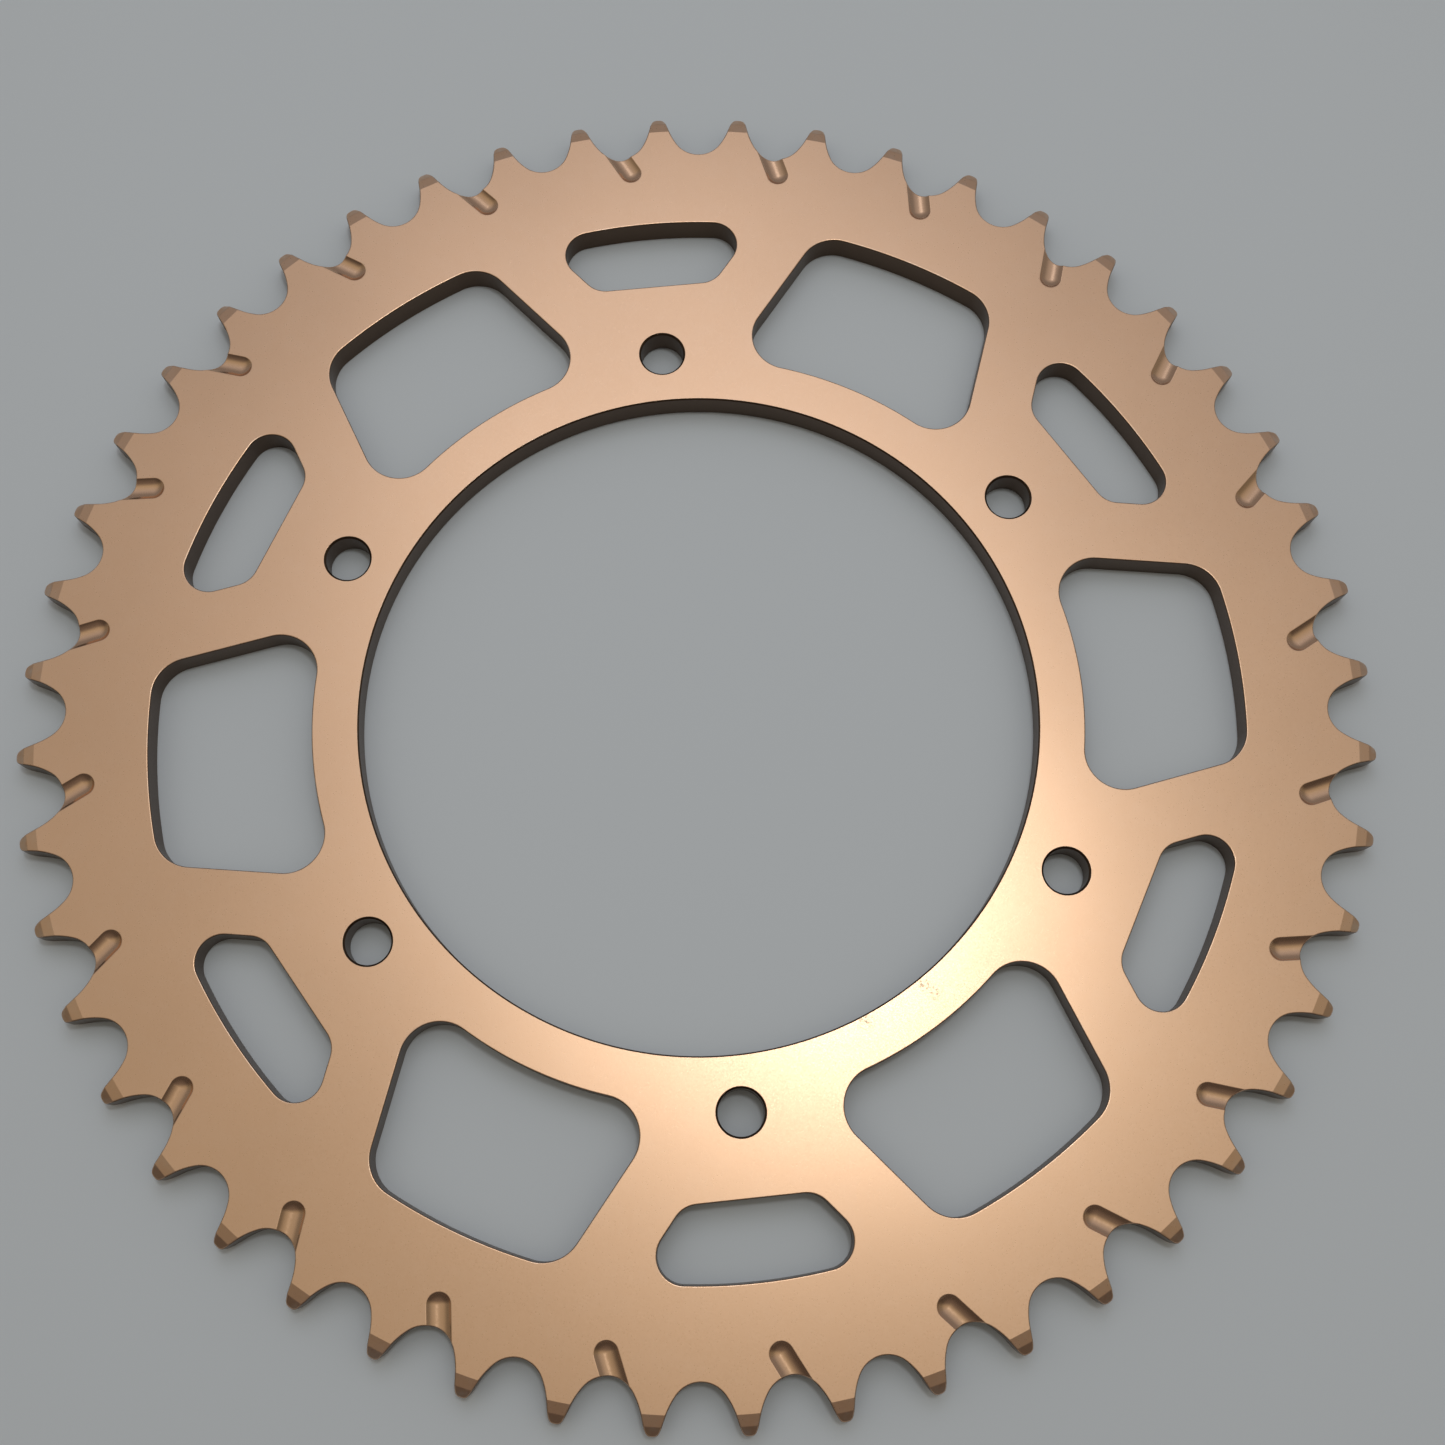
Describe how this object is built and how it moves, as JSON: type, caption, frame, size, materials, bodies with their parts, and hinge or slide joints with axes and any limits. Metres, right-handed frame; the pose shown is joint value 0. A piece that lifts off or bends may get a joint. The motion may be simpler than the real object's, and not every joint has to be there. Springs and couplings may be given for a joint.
{
  "type": "motorcycle rear sprocket",
  "caption": "Flat ring-shaped chain sprocket with a large centre bore, a circle of bolt holes, two kinds of lightening window and ball-nosed mud grooves in alternate tooth gaps.",
  "frame": {"origin": "centre of the bore, on the flat hub-side face", "axes": "+Z along the axle, from the hub-side face to the outer face with the mud grooves; +X through a bolt hole"},
  "size_m": [0.2502, 0.2502, 0.006],
  "materials": {
    "anodised_plate": "satin anodised, pale bronze gold"
  },
  "bodies": {
    "root": {"sprocket_plate": "anodised_plate"}
  },
  "joints": []
}
